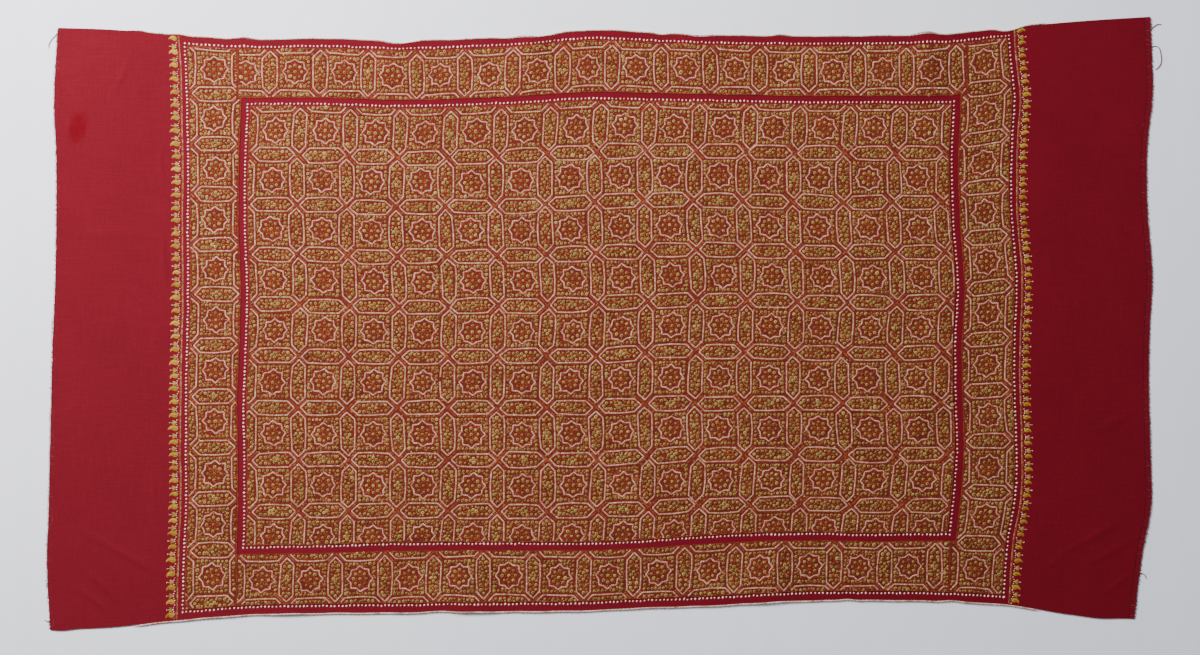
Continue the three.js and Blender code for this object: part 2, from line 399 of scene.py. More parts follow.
def handWobble(points, amount):
    a, c = points.T
    drift = [sum(np.sin(a / p + c / q + start) for p, q, start in waves) for waves in handWaves]
    return points + amount * np.stack(drift, axis=1) / handwork["wavePeak"]


def resample(path, closed, step):
    if closed:
        path = np.concatenate([path, path[:1]])
    lengths = np.hypot(*np.diff(path, axis=0).T)
    total = lengths.sum()
    count = 2 * max(1, round(total / step))
    marks = np.concatenate([[0], np.cumsum(lengths)])
    at = np.linspace(0, total, count + 1)
    if closed:
        at = at[:-1]
    return np.stack([np.interp(at, marks, path[:, 0]), np.interp(at, marks, path[:, 1])], axis=1)


def insideRuns(inside, closed):
    if inside.all():
        return [(np.arange(len(inside)), closed)]
    if not inside.any():
        return []
    order = np.arange(len(inside))
    if closed:
        order = np.roll(order, -int(np.flatnonzero(~inside)[0]))
    flags = inside[order]
    breaks = np.flatnonzero(np.diff(flags.astype(int))) + 1
    return [(part, False) for part in np.split(order, breaks) if inside[part[0]] and len(part) > 2]


# an end border gives way to a long border at their join, which isn't in line with its own inner side
def pastJoin(zone, points, margin):
    if zone["drift"] not in innerSides:
        return True
    side = innerSides[zone["drift"]]
    along, across = points.T
    inner = layout["longBorderInner"]
    limit = np.where(across > inner, side["top"], np.where(across < -inner, side["bottom"], side["middle"]))
    return np.sign(side["middle"]) * (along - limit) > margin


def inZone(zone, points, margin):
    along, across = points.T
    return ((along > zone["left"] + margin) & (along < zone["right"] - margin)
            & (across > zone["low"] + margin) & (across < zone["high"] - margin)
            & pastJoin(zone, points, margin)
            & (np.hypot(along - damage["along"], across - damage["across"]) > damage["radius"]))


def strip(store, path, closed, widths, heights, tones, base):
    tangent = np.roll(path, -1, axis=0) - np.roll(path, 1, axis=0) if closed else np.gradient(path, axis=0)
    side = leftOf(unitOf(tangent)) * widths[:, None] / 2
    n = len(path)
    points = np.empty((n, 3, 3))
    points[:, 0, :2], points[:, 1, :2], points[:, 2, :2] = path - side, path, path + side
    points[:, 0, 2] = points[:, 2, 2] = base - handwork["sink"]
    points[:, 1, 2] = base + heights
    k = np.arange(n if closed else n - 1)
    a, b = 3 * k, 3 * ((k + 1) % n)
    quads = np.concatenate([facesOf(a + m, b + m, b + m + 1, a + m + 1) for m in (0, 1)])
    addThreads(store, points.reshape(-1, 3), np.repeat(tones, 3), quads=quads)


# a row of chain stitches, each narrow where the next one holds it
def stitchRow(store, path, closed, look, zone=None, base=layout["workHigh"]):
    path = handWobble(resample(path, closed, look["stitch"]), look["wobble"])
    keep = inZone(zone, path, look["width"] / 2) if zone else np.ones(len(path), bool)
    taken.append(np.column_stack([path, np.full(len(path), look["width"] / 2)]))
    for part, whole in insideRuns(keep, closed):
        n = len(part)
        middle = np.arange(n) % 2 == 1
        each = chance.normal(1, handwork["rowUneven"], n)
        widths = look["width"] * np.where(middle, 1, handwork["heldWidth"]) * each
        heights = look["height"] * np.where(middle, 1, handwork["heldHeight"]) * each
        tones = np.repeat(chance.normal(look["tone"], look["spread"], n // 2 + 1), 2)[:n]
        # painted shade: the held part of each stitch, where it dips under the next, is painted darker
        tones -= np.where(middle, 0, handwork["heldPaintedShade"])
        strip(store, path[part], whole, widths, heights, tones, base)


# short straight stitches, all at once
def strokes(store, starts, ends, look, zone=None, base=layout["workHigh"]):
    starts, ends = (handWobble(spots, handwork["strokeWobble"]) for spots in (starts, ends))
    if zone:
        keep = inZone(zone, starts, handwork["strokeMargin"]) & inZone(zone, ends, handwork["strokeMargin"])
        starts, ends = starts[keep], ends[keep]
    n = len(starts)
    if not n:
        return
    side = leftOf(unitOf(ends - starts)) * look["width"] / 2
    side *= chance.normal(1, handwork["strokeUneven"], n)[:, None]
    points = np.empty((n, 9, 3))
    for k, (share, wide, tall) in enumerate(handwork["strokeForm"]):
        centre = starts * (1 - share) + ends * share
        for m, way in enumerate((-1, 0, 1)):
            points[:, 3 * k + m, :2] = centre + way * side * wide
            points[:, 3 * k + m, 2] = base - handwork["sink"] if way else base + look["height"] * tall
    quads = repeated([[0, 3, 4, 1], [1, 4, 5, 2], [3, 6, 7, 4], [4, 7, 8, 5]], 9, n)
    tones = np.repeat(chance.normal(look["tone"], look["spread"], n), 9)
    addThreads(store, points.reshape(-1, 3), tones, quads=quads)


# the smallest stitches, each a low lozenge
def fillStitches(store, centres, leans, look):
    n = len(centres)
    half = np.stack([np.cos(leans), np.sin(leans)], axis=1) * look["length"] / 2
    half *= chance.normal(1, handwork["grainUneven"], (n, 1))
    side = leftOf(half) * look["width"] / look["length"]
    points = np.empty((n, 5, 3))
    for k, spot in enumerate((centres - half, centres - side, centres + half, centres + side, centres)):
        points[:, k, :2] = spot
        points[:, k, 2] = layout["workHigh"] + (look["height"] if k == 4 else -handwork["grainSink"])
    triangles = repeated([[0, 1, 4], [1, 2, 4], [2, 3, 4], [3, 0, 4]], 5, n)
    tones = np.repeat(chance.normal(look["tone"], look["spread"], n), 5)
    addThreads(store, points.reshape(-1, 3), tones, triangles=triangles)


# small round knots of thread with a dimple in the middle; the foot is painted darker and the dimple darker by
# the look's dark amount, painted shade, and the shoulder lighter, a painted highlight
def knots(store, centres, look, zone=None, base=layout["workHigh"], sizes=None, turns=None):
    centres = handWobble(np.asarray(centres, float), look["wobble"])
    sizes = np.ones(len(centres)) if sizes is None else np.asarray(sizes, float)
    if zone:
        keep = inZone(zone, centres, look["radius"] * handwork["knotMargin"])
        centres, sizes = centres[keep], sizes[keep]
        turns = None if turns is None else turns[keep]
    n, sides = len(centres), look["sides"]
    if not n:
        return
    taken.append(np.column_stack([centres, look["radius"] * sizes]))
    turns = chance.uniform(0, 2 * math.pi, n) if turns is None else turns
    sizes = sizes * chance.normal(1, look["uneven"], n)
    around = np.linspace(0, 2 * math.pi, sides, endpoint=False)
    stretch = look["stretch"] * chance.normal(1, handwork["knotStretch"], n)
    points = np.empty((n, 2 * sides + 1, 3))
    tones = np.empty((n, 2 * sides + 1))
    tone = chance.normal(0.5, look["spread"], n)
    # painted shade at the foot, painted highlight on the shoulder
    rims = ((1, 0, look["rim"]), (look["shoulder"], 1, handwork["shoulderPaintedHighlight"]))
    for turn, (wide, tall, shade) in enumerate(rims):
        part = slice(turn * sides, (turn + 1) * sides)
        radius = look["radius"] * wide * sizes[:, None] * chance.normal(1, look["ragged"], (n, sides))
        x, y = np.cos(around)[None] * radius * stretch[:, None], np.sin(around)[None] * radius
        c, s = np.cos(turns)[:, None], np.sin(turns)[:, None]
        points[:, part, 0] = centres[:, :1] + x * c - y * s
        points[:, part, 1] = centres[:, 1:] + x * s + y * c
        points[:, part, 2] = base + (look["height"] * sizes[:, None] if tall else -handwork["sink"])
        tones[:, part] = tone[:, None] + shade
    points[:, -1, :2] = centres
    points[:, -1, 2] = base + look["height"] * look["dimple"]
    # painted shade in the dimple, darker by the look's dark amount
    tones[:, -1] = tone - look["dark"]
    k = np.arange(sides)
    nxt = (k + 1) % sides
    quads = repeated(facesOf(k, nxt, sides + nxt, sides + k), 2 * sides + 1, n)
    triangles = repeated(facesOf(sides + k, sides + nxt, 0 * k + 2 * sides), 2 * sides + 1, n)
    addThreads(store, points.reshape(-1, 3), tones.ravel(), quads=quads, triangles=triangles)


# a value in a material's nodes, so that its maths can be written as an expression
class Wire:
    def __init__(self, finish, socket):
        self.finish = finish
        self.socket = socket

    def worked(self, operation, *values):
        return self.finish.add("ShaderNodeMath", {"operation": operation}, dict(enumerate(values)))

    def __add__(self, other):
        return self.worked("ADD", self, other)

    def __radd__(self, other):
        return self.worked("ADD", self, other)

    def __sub__(self, other):
        return self.worked("SUBTRACT", self, other)

    def __rsub__(self, other):
        return self.worked("SUBTRACT", other, self)

    def __mul__(self, other):
        return self.worked("MULTIPLY", self, other)

    def __rmul__(self, other):
        return self.worked("MULTIPLY", self, other)

    def __truediv__(self, other):
        return self.worked("DIVIDE", self, other)

    def __rtruediv__(self, other):
        return self.worked("DIVIDE", other, self)

    def __lt__(self, other):
        return self.worked("LESS_THAN", self, other)

    def __abs__(self):
        return self.worked("ABSOLUTE", self)

    def step(self, low, high):
        return self.finish.add("ShaderNodeMapRange", {"interpolation_type": "SMOOTHSTEP"},
                               {"Value": self, "From Min": low, "From Max": high})


class Finish:
    def __init__(self, name):
        self.material = bpy.data.materials.new(name)
        self.material.use_nodes = True
        self.tree = self.material.node_tree
        self.tree.nodes.clear()
        self.shader = self.tree.nodes.new("ShaderNodeBsdfPrincipled")
        output = self.tree.nodes.new("ShaderNodeOutputMaterial")
        self.tree.links.new(self.shader.outputs[0], output.inputs[0])

    def put(self, socket, value):
        if isinstance(value, Wire):
            self.tree.links.new(value.socket, socket)
        elif isinstance(value, (tuple, list)) and len(value) == 3 and socket.type == "RGBA":
            socket.default_value = (*value, 1)
        else:
            socket.default_value = value

    def add(self, kind, settings=None, sockets=None, out=0):
        node = self.tree.nodes.new(kind)
        for name, value in (settings or {}).items():
            if name == "stops":
                for i, (position, colour) in enumerate(value):
                    stop = node.color_ramp.elements[i] if i < 2 else node.color_ramp.elements.new(position)
                    stop.position = position
                    stop.color = (*colour, 1)
            else:
                setattr(node, name, value)
        for name, value in (sockets or {}).items():
            self.put(node.inputs[name], value)
        return Wire(self, node.outputs[out])

    def mix(self, a, b, share):
        return self.add("ShaderNodeMix", {"data_type": "RGBA"}, {0: share, 6: a, 7: b}, out=2)

    def times(self, colour, value):
        return self.add("ShaderNodeVectorMath", {"operation": "SCALE"}, {0: colour, "Scale": value})

    def ramp(self, share, *stops):
        return self.add("ShaderNodeValToRGB", {"stops": stops}, {0: share})

    def attribute(self, name, out=2):
        return self.add("ShaderNodeAttribute", {"attribute_name": name}, out=out)

    def where(self):
        return self.add("ShaderNodeTexCoord", out=3)

    def noise(self, vector, scale, detail=2, rough=0.5):
        return self.add("ShaderNodeTexNoise", {}, {"Vector": vector, "Scale": scale, "Detail": detail,
                                                   "Roughness": rough})

    # noise drawn out along its threads: how many there are along, across and up in a metre
    def grain(self, vector, turn, sizes, detail=3, rough=0.6):
        drawn = self.add("ShaderNodeMapping", {},
                         {"Vector": vector, "Rotation": (0, 0, turn), "Scale": sizes})
        return self.noise(drawn, 1.0, detail, rough)

    def bump(self, height, strength, distance):
        return self.add("ShaderNodeBump", {}, {"Height": height, "Strength": strength, "Distance": distance})

    def sheen(self, weight, rough, tint):
        self.set(**{"Sheen Weight": weight, "Sheen Roughness": rough, "Sheen Tint": tint})

    def set(self, **values):
        for name, value in values.items():
            self.put(self.shader.inputs[name], value)
        return self.material


woolLook = {
    # the left end's colour is a little lighter and pinker than the right end's: a painted sheen that fades
    # along the cloth
    "bright": (0.142, 0.0058, 0.0130), "deep": (0.132, 0.0030, 0.0100), "paintedSheenFade": (-700, 950),
    "blot": (0.132, 0.0012, 0.0055), "blotAlong": -957, "blotAcross": 352, "blotLong": 19, "blotWide": 31,
    "blotLean": 0.36, "blotStrength": 0.85, "blotRagged": 2.4, "blotFade": (0.2, 1.3),
    "base": 0.36, "twill": 0.24, "slubs": 0.28, "picks": 0.26, "clouds": 0.20, "nap": 0.30,
    "roughness": 0.92, "sheen": 0.01, "sheenTint": (0.9, 0.45, 0.45),
    "backs": ((0.3, (0.16, 0.012, 0.008)), (0.62, (0.42, 0.26, 0.09)),
              (0.5, (0.30, 0.07, 0.02)), (0.72, (0.60, 0.42, 0.32))),
}


# the wool's right side, and its reverse with the backs of the stitches in their places
def woolFinish(name, reverse=False):
    look = woolLook
    finish = Finish(name)
    where = finish.where()
    along = finish.add("ShaderNodeSeparateXYZ", sockets={0: finish.attribute("place", out=1)})
    across = Wire(finish, along.socket.node.outputs[1])
    # painted sheen: the wool is painted lighter and pinker towards the left end
    colour = finish.mix(look["bright"], look["deep"], along.step(*look["paintedSheenFade"]))
    twill = finish.grain(where, 0.7, (900, 260, 1), 2)
    slubs = finish.grain(where, 0, (14, 420, 1))
    picks = finish.grain(where, 0, (420, 18, 1))
    clouds = finish.noise(where, 9, 3, 0.55)
    nap = finish.noise(where, 190, 3, 0.7)
    shade = (look["base"] + look["twill"] * twill + look["slubs"] * slubs + look["picks"] * picks
             + look["clouds"] * clouds + look["nap"] * nap)
    dy = (across - look["blotAcross"]) / look["blotWide"]
    dx = (along - look["blotAlong"]) / look["blotLong"] - dy * look["blotLean"]
    edge = finish.noise(where, 70, 3, 0.6)
    ragged = edge * look["blotRagged"] - look["blotRagged"] / 2
    blot = 1 - (dx * dx + dy * dy + ragged).step(*look["blotFade"])
    colour = finish.mix(colour, look["blot"], blot * look["blotStrength"])
    if reverse:
        inField = (abs(along) < layout["fieldAlong"]) * (abs(across) < layout["fieldAcross"])
        inOuter = (abs(along) < layout["sideBorderOuter"]) * (abs(across) < layout["longBorderOuter"])
        inInner = (abs(along) < layout["sideBorderInner"]) * (abs(across) < layout["longBorderInner"])
        inRing = inOuter * (1 - inInner)
        backs = finish.ramp(finish.grain(where, 0.4, (300, 300, 1), rough=0.7), *look["backs"])
        colour = finish.mix(colour, backs, inField + inRing)
    finish.sheen(look["sheen"], 0.5, look["sheenTint"])
    relief = finish.bump(twill + 0.5 * slubs + 0.5 * picks, 0.5, 0.0006)
    return finish.set(**{"Base Color": finish.times(colour, shade), "Roughness": look["roughness"],
                         "Normal": relief, "Specular IOR Level": 0.1})


groundLook = {"maroon": (0.088, 0.010, 0.005), "rust": (0.150, 0.016, 0.008), "orange": (0.25, 0.055, 0.012)}


def groundFinish(name):
    look = groundLook
    finish = Finish(name)
    where = finish.where()
    flecks = finish.noise(where, 210, 3, 0.65)
    drift = finish.noise(where, 14, 2, 0.5)
    rows = finish.grain(where, 0.8, (1400, 300, 1), 2)
    colour = finish.ramp(flecks * 0.7 + drift * 0.15 + rows * 0.15,
                         (0.42, look["maroon"]), (0.74, look["orange"]), (0.58, look["rust"]))
    finish.sheen(0.08, 0.5, (1, 0.7, 0.5))
    relief = finish.bump(flecks + rows, 0.6, 0.0008)
    return finish.set(**{"Base Color": colour, "Roughness": 0.9, "Normal": relief,
                         "Specular IOR Level": 0.12})


# each thread from its dark to its light, with the tone of each stitch between them
def threadFinish(name, dark, middle, light, roughness=0.7, shine=0.08):
    finish = Finish(name)
    where = finish.where()
    strands = finish.noise(where, 1500, 2, 0.6)
    drift = finish.noise(where, 12, 2, 0.5)
    colour = finish.ramp(finish.attribute("tone") * 0.75 + strands * 0.22 + drift * 0.2 - 0.09,
                         (0.08, dark), (0.92, light), (0.5, middle))
    finish.sheen(shine, 0.4, light)
    relief = finish.bump(strands, 0.35, 0.0004)
    return finish.set(**{"Base Color": colour, "Roughness": roughness, "Normal": relief,
                         "Specular IOR Level": 0.2})


threadLooks = {
    "creamThread": ((0.23, 0.08, 0.050), (0.46, 0.235, 0.160), (0.66, 0.42, 0.31)),
    "goldOliveThread": ((0.100, 0.032, 0.007), (0.285, 0.185, 0.045), (0.46, 0.345, 0.115)),
    "rustThread": ((0.070, 0.004, 0.004), (0.18, 0.030, 0.008), (0.40, 0.12, 0.018)),
    "whiteThread": ((0.46, 0.18, 0.14), (0.79, 0.51, 0.43), (0.92, 0.74, 0.66)),
    "yellowThread": ((0.14, 0.05, 0.005), (0.32, 0.185, 0.012), (0.50, 0.34, 0.04)),
    "orangeThread": ((0.12, 0.012, 0.003), (0.26, 0.06, 0.005), (0.42, 0.15, 0.01)),
    "oliveThread": ((0.11, 0.050, 0.007), (0.28, 0.18, 0.026), (0.46, 0.34, 0.08)),
    "pinkThread": ((0.34, 0.08, 0.07), (0.63, 0.30, 0.25), (0.86, 0.58, 0.50)),
    "tanThread": ((0.13, 0.03, 0.012), (0.27, 0.115, 0.045), (0.48, 0.28, 0.15)),
    # the frayed thread's light end, which the fringe hairs take, is a painted sheen
    "frayedRedThread": ((0.100, 0.003, 0.008), (0.145, 0.006, 0.013), (0.42, 0.12, 0.14), 0.9, 0.01),
    "edgingThread": ((0.22, 0.09, 0.05), (0.58, 0.38, 0.27), (0.80, 0.62, 0.50)),
}
woolFront = woolFinish("woolTwill")
woolBack = woolFinish("woolReverse", reverse=True)
workGround = groundFinish("fillStitching")
threads = {name: threadFinish(name, *look) for name, look in threadLooks.items()}
print("finishes drawn")


creaseAngle = math.radians(50)  # sharper edges than this stay sharp in the shading


# the ground cloth, and the filled panels that the needlework sits on
points, place, top, bottom, sides = wall(clothAlong, clothAcross, 0, layout["clothThickness"])
clothFaces = np.concatenate([top, sides, bottom])
shawlCloth = meshPiece("shawlCloth", points, [clothFaces], [woolFront, woolBack], place=place,
                       faceMaterial=np.repeat([0, 1], [len(top) + len(sides), len(bottom)]))
shawlCloth.data.set_sharp_from_angle(angle=creaseAngle)
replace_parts(shawlCloth, "ground_cloth")

seam = 0.3
fieldAlong, fieldAcross = layout["fieldAlong"], layout["fieldAcross"]
innerAlong, outerAlong = layout["sideBorderInner"], layout["sideBorderOuter"]
innerAcross, outerAcross = layout["longBorderInner"], layout["longBorderOuter"]
longEnd = innerAlong - seam
panels = rowsOf(
    "name node left right low high",
    ("fieldFill", "field_embroidery", -fieldAlong, fieldAlong, -fieldAcross, fieldAcross),
    ("borderTopFill", "border_top", -longEnd, longEnd, innerAcross, outerAcross),
    ("borderBottomFill", "border_bottom", -longEnd, longEnd, -outerAcross, -innerAcross),
    ("borderLeftFill", "border_left", -outerAlong, -innerAlong, -outerAcross, outerAcross),
    ("borderRightFill", "border_right", innerAlong, outerAlong, -outerAcross, outerAcross))
for panel in panels:
    alongs = linesBetween(clothAlong, panel["left"], panel["right"])
    acrosses = linesBetween(clothAcross, panel["low"], panel["high"])
    points, place, top, bottom, sides = wall(alongs, acrosses, layout["workLow"], layout["workHigh"])
    piece = meshPiece(panel["name"], points, [top, sides], [workGround], place=place)
    piece.data.set_sharp_from_angle(angle=creaseAngle)
    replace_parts(piece, panel["node"])
print("cloth and panels laid")


damage = {"along": -293, "across": -100, "radius": 4.2}  # a small spot where the stitches are worn away

# where the long borders' needlework meets that of the side borders, and the side borders' inner sides there
joins = {"topLeft": -664.5, "topRight": 671, "bottomLeft": -658.5, "bottomRight": 650}
innerSides = {
    "left": {"middle": -659.9, "bottom": joins["bottomLeft"] - 1, "top": joins["topLeft"] - 1},
    "right": {"middle": 659.9, "bottom": joins["bottomRight"] + 1, "top": joins["topRight"] + 1},
}

# the lattice of long hexagons around eight-pointed stars: each zone's first star, its repeat and its count
zones = rowsOf(
    "name drift left right low high firstAlong firstAcross pitchAlong pitchAcross columns rows",
    ("field", None, -fieldAlong, fieldAlong, -fieldAcross, fieldAcross, -594, 358, 90.6, 93.3, 14, 9),
    ("borders", "top", joins["topLeft"], joins["topRight"], innerAcross, outerAcross,
     -652.5, 463.75, 90, 93.5, 15, 1),
    ("borders", "bottom", joins["bottomLeft"], joins["bottomRight"], -outerAcross, -innerAcross,
     -613, -463.75, 91, 93.5, 15, 1),
    ("borders", "left", -outerAlong, -650, -outerAcross, outerAcross, -702.75, 470.5, 91, 92.5, 1, 12),
    ("borders", "right", 645, outerAlong, -outerAcross, outerAcross, 704, 474.5, 91, 94.1, 1, 12))

# how far the worked lattice wanders from an even one, along and across
driftLinesAlong = {"left": -590, "quarter": -240, "middle": 0, "threeQuarter": 240, "right": 590}
driftAlong = rowsOf(
    "across left quarter middle threeQuarter right",
    (355, -1, 3.5, 5, 6, 11),
    (255, -3.6, -2.2, -1.8, -1.5, 1),
    (155, -3.6, -3.4, -2.6, -3.2, -2),
    (55, -2.5, -4.2, -3.6, -2.5, -1.2),
    (-45, -1.2, -1.2, -3.2, -3.8, -2.4),
    (-147, 0, 0, -1.8, -4.5, -9.5),
    (-247, 0.6, -1, -1.2, -5.2, -1.2),
    (-355, 0, 2.4, 3.8, 9.8, 17))

driftLinesAcross = {"left": -590, "quarter": -240, "nearLeft": -118, "middle": 0, "nearRight": 118,
                    "threeQuarter": 240, "right": 590}
driftAcross = rowsOf(
    "across left quarter nearLeft middle nearRight threeQuarter right",
    (355, -0.7, -3.3, -4.1, -1.3, -0.9, -1.2, 0),
    (255, 1.2, -1, -2, 1, 1.8, 1.8, 0.5),
    (155, 3.1, 1.5, 0, 2, 3.4, 3, 2.2),
    (55, 3.6, 2.2, 1.8, 4, 4.6, 3, 1.6),
    (-45, 3.8, 3, 2.5, 3.4, 4.6, 1.5, 0.6),
    (-147, 3, 1.4, -0.1, 2, 3.1, -3, -1.5),
    (-247, 1.8, -2.2, -3, -0.6, 0.5, -5.4, -5.3),
    (-355, 1.5, -3.6, -4.8, -2.5, -1.5, -7, -9))

# and how far the row of each border wanders, at places along its length
borderDrift = {
    "top": dict(at=(-590, -473, -355, -237, -118, 0, 118, 237, 355, 473, 590),
                along=(1.1, 2, -0.9, -2.5, -4.2, -2.2, -2.2, -2.2, -0.5, -1.1, -1.1),
                across=(1.8, 1.5, -3.3, -1.1, -4.4, -1.3, -0.9, 1.1, 0.4, 0, 2.4)),
    "bottom": dict(at=(-590, -355, -237, -118, 0, 118, 237, 355, 473, 590),
                   along=(1.1, -1.8, -1.4, -1.4, -0.4, 0.5, 4.4, 5.2, 5.6, 6),
                   across=(-1.3, -2.5, 1.1, 0.2, -0.5, -1.5, -0.9, -1.6, -1.5, -0.2)),
    "right": dict(at=(-474, -380, -297, -197, -97, 3, 103, 203, 303, 403),
                  along=(-6.5, 2, 0, 0, 0, 0, 0, 0, 0, 0),
                  across=(-0.5, -0.5, -0.5, -0.5, 1.1, 3.6, 4, 0.7, -0.6, -5.4)),
    "left": dict(at=(303, 403, 470), along=(0, -2.5, -3.4), across=(0, 0, 0)),
}

motif = {
    "hexAlong": 0.86, "hexAcross": 0.875, "hexWidth": 0.272, "hexBelly": 0.7,
    "starPoint": 0.257, "starNotch": 0.205, "starKnots": 0.13,
    "cord": dict(stitch=3.4, width=3.7, height=0.85, wobble=0.8, tone=0.5, spread=0.2),
    # a knot's dark and rim tones are painted shade in its dimple and at its foot
    "knot": dict(radius=3.25, height=0.75, sides=6, spread=0.15, wobble=0.6, dark=0.85, shoulder=0.72,
                 rim=-0.42, dimple=0.05, uneven=0.1, ragged=0.1, stretch=1),
    "grain": dict(length=4.4, width=3.7, height=0.45, spread=0.2, tone=0.36, pitch=5.3, shake=0.6, share=0.92,
                  clear=0.75, starClear=22.5),
    "fill": dict(length=4.1, width=1.8, height=0.3, spread=0.34, tone=0.42, tries=330, clear=0.3, lean=0.25),
    "strap": dict(stitch=3.2, width=3.8, height=0.6, wobble=0.4, tone=0.55, spread=0.2),
    "outline": dict(stitch=3.6, width=2.2, height=0.5, wobble=0.5, tone=0.45, spread=0.2),
    "join": dict(stitch=3.4, width=2.8, height=0.4, wobble=0.4, tone=0.35, spread=0.2),
    "stroke": dict(width=2.0, height=0.5, tone=0.5, spread=0.3),
    "ray": dict(width=2.8, height=0.6, tone=0.5, spread=0.16),
    "rowInset": 7.4, "rowSpots": (-1, -0.71, -0.43, -0.18, 0.18, 0.43, 0.71, 1),
    "rowSizes": (0.7, 0.95), "rowSmallWithin": 6, "strapReach": 0.165, "outlineInset": 1.3,
    "rayFrom": 4.2, "rayShort": 1.5, "tipFrom": 3.4, "tipShort": 2.4, "notchFrom": 2.4, "notchTo": 6.8,
    "flames": (0.125, 0.155, 0.215, 0.245), "flameHalf": (2.6, 1.1), "nearby": 5, "insideEdge": 1.5,
    # how uneven the hand is: in place, in size, in lean
    "hand": dict(star=0.9, starSize=0.025, starLean=0.035, outline=0.022, petals=0.04, strap=0.3,
                 hexagon=0.7, hexLength=0.006, hexWidth=0.015, hexLean=0.012),
}
# the knots in a quarter of a hexagon, in parts of the repeat
hexagonKnots = rowsOf(
    "along aside size",
    (0.325, 0, 1),
    (0.262, 0.056, 1),
    (0.172, 0.058, 1),
    (0.094, 0.070, 0.8),
    (0.062, 0, 1.06),
    (0, 0.041, 1.06))


def turned(points, angle):
    c, s = math.cos(angle), math.sin(angle)
    return np.stack([points[:, 0] * c - points[:, 1] * s, points[:, 0] * s + points[:, 1] * c], axis=1)


def ring(count, radius, start=0.0):
    angles = np.arange(count) * 2 * math.pi / count + start
    return np.stack([radius * np.cos(angles), radius * np.sin(angles)], axis=1)


def workStar(zone, middle, size):
    rust, hand = rusts[zone["name"]], motif["hand"]
    middle = middle + chance.normal(0, hand["star"], 2)
    grow, lean = chance.normal(size, hand["starSize"] * size), chance.normal(0, hand["starLean"])
    tips, notches = ring(8, motif["starPoint"] * grow), ring(8, motif["starNotch"] * grow, math.pi / 8)
    outline = np.stack([tips, notches], axis=1).reshape(-1, 2)
    outline *= 1 + chance.normal(0, hand["outline"], (16, 1))
    stitchRow(cords[zone["name"]], turned(outline, lean) + middle, True, motif["cord"], zone)
    reach, point, notch = (motif[part] * size for part in ("starKnots", "starPoint", "starNotch"))
    petals = ring(8, reach, lean + chance.normal(0, hand["petals"]))
    knots(golds[zone["name"]], np.concatenate([petals, [(0, 0)]]) + middle, motif["knot"], zone)
    toPoints, toNotches = ring(8, 1, lean), ring(8, 1, lean + math.pi / 8)
    for rays, start, end, look in (
            (toNotches, motif["rayFrom"], reach - motif["rayShort"], motif["ray"]),
            (toPoints, reach + motif["tipFrom"], point - motif["tipShort"], motif["stroke"]),
            (toNotches, notch + motif["notchFrom"], notch + motif["notchTo"], motif["stroke"])):
        strokes(rust, rays * start + middle, rays * end + middle, look, zone)


def workCell(zone, centre, pitches, size):
    half = [p / 2 - motif["hexWidth"] * size / 2 - motif["rowInset"] for p in pitches]
    spots = np.array(motif["rowSpots"])
    rows = [np.stack([spots * half[0], 0 * spots + way * half[1]], axis=1) for way in (-1, 1)]
    rows += [np.stack([0 * spots + way * half[0], spots * half[1]], axis=1)[1:-1] for way in (-1, 1)]
    rows = np.concatenate(rows)
    sizes = np.where(np.abs(rows).min(axis=1) < motif["rowSmallWithin"], *motif["rowSizes"])
    knots(golds[zone["name"]], rows + centre, motif["knot"], zone, sizes=sizes)


def workHexagon(zone, middle, turn, size):
    cord, gold, rust = (kind[zone["name"]] for kind in (cords, hexGolds, rusts))
    hand = motif["hand"]
    middle = middle + chance.normal(0, hand["hexagon"], 2)
    h = motif["hexAcross" if turn else "hexAlong"] * size * chance.normal(0.5, hand["hexLength"])
    w = motif["hexWidth"] * size * chance.normal(0.5, hand["hexWidth"])
    tilt = turn + chance.normal(0, hand["hexLean"])
    belly = w + motif["hexBelly"]
    outline = np.array([(-h, 0), (w - h, -w), (0, -belly), (h - w, -w),
                        (h, 0), (h - w, w), (0, belly), (w - h, w)])
    stitchRow(cord, turned(outline, tilt) + middle, True, motif["cord"], zone)
    for row in hexagonKnots:
        spots = {(x * row["along"], y * row["aside"]) for x in (-1, 1) for y in (-1, 1)}
        spots = np.array(sorted(spots)) * size
        knots(gold, turned(spots, tilt) + middle, motif["knot"], zone, sizes=np.full(len(spots), row["size"]))
    # a flame on each side of the flower
    run = np.array(motif["flames"]) * size
    run = np.concatenate([-run, run])
    reach, lean = motif["flameHalf"]
    lean = np.where(np.arange(len(run)) % 2 == 0, lean, -lean)
    strokes(rust, turned(np.stack([run - reach, -lean], axis=1), tilt) + middle,
            turned(np.stack([run + reach, lean], axis=1), tilt) + middle, motif["stroke"], zone)


def workStraps(zone, corner, size):
    reach = motif["strapReach"] * size
    for way in (-1, 1):
        ends = np.array([(-reach, -way * reach), (reach, way * reach)]) + corner
        stitchRow(rusts[zone["name"]], ends + chance.normal(0, motif["hand"]["strap"], 2), False,
                  motif["strap"], zone)


def spareGround(zone, centre, pitches, spots, clear):
    near = covers[(np.abs(covers[:, :2] - centre) < pitches / 2 + motif["nearby"]).all(axis=1)]
    gaps = np.hypot(spots[:, :1] - near[:, 0], spots[:, 1:] - near[:, 1]) - near[:, 2]
    return (gaps.min(axis=1) > clear) & inZone(zone, spots, motif["insideEdge"])


